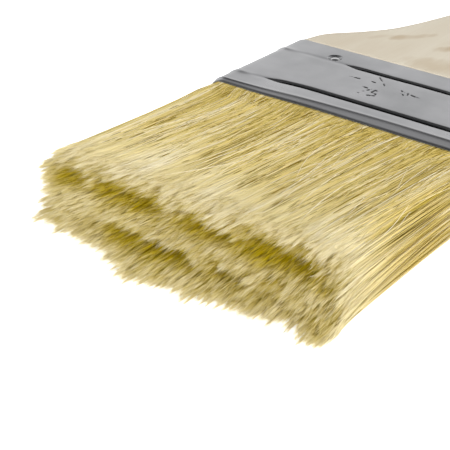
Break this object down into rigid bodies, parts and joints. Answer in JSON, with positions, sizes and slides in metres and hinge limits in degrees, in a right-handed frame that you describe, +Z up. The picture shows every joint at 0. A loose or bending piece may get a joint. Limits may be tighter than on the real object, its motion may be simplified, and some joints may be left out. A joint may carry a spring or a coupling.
{
  "type": "flat paint brush",
  "caption": "Flat natural-bristle paint brush: shaped wooden handle with a hang hole, nailed and grooved steel ferrule, and a thick layered tuft that flexes.",
  "frame": {"origin": "under the middle of the whole brush, on the surface that it lies on with a broad face up", "axes": "+X across the width, +Y along the handle away from the bristle tips, +Z up through the thickness"},
  "size_m": [0.075, 0.2144, 0.0174],
  "materials": {
    "handle_wood": "bare sanded pale hardwood",
    "ferrule_steel": "satin tinned steel strip",
    "nail_steel": "bright wire nail",
    "resin": "cured brown resin",
    "spacer_wood": "sawn strip",
    "bristle": "bleached hog bristle, flagged tips"
  },
  "bodies": {
    "brush": {"handle": "handle_wood", "ferrule": "ferrule_steel", "nail_top_left": "nail_steel", "nail_top_right": "nail_steel", "nail_bottom_left": "nail_steel", "nail_bottom_right": "nail_steel", "resin_setting": "resin", "spacer_top": "spacer_wood", "spacer_bottom": "spacer_wood"},
    "tuft": {"bristles_top": "bristle", "bristles_middle": "bristle", "bristles_bottom": "bristle"}
  },
  "joints": [
    {"name": "bristle_bend", "type": "hinge", "parent": "brush", "child": "tuft", "pos_m": [0, -0.05225, 0.00868], "axis": [-1, 0, 0], "range_deg": [0, 35], "stiffness_Nm_per_rad": 0.55, "deforming": ["bristles_top", "bristles_middle", "bristles_bottom"]}
  ]
}
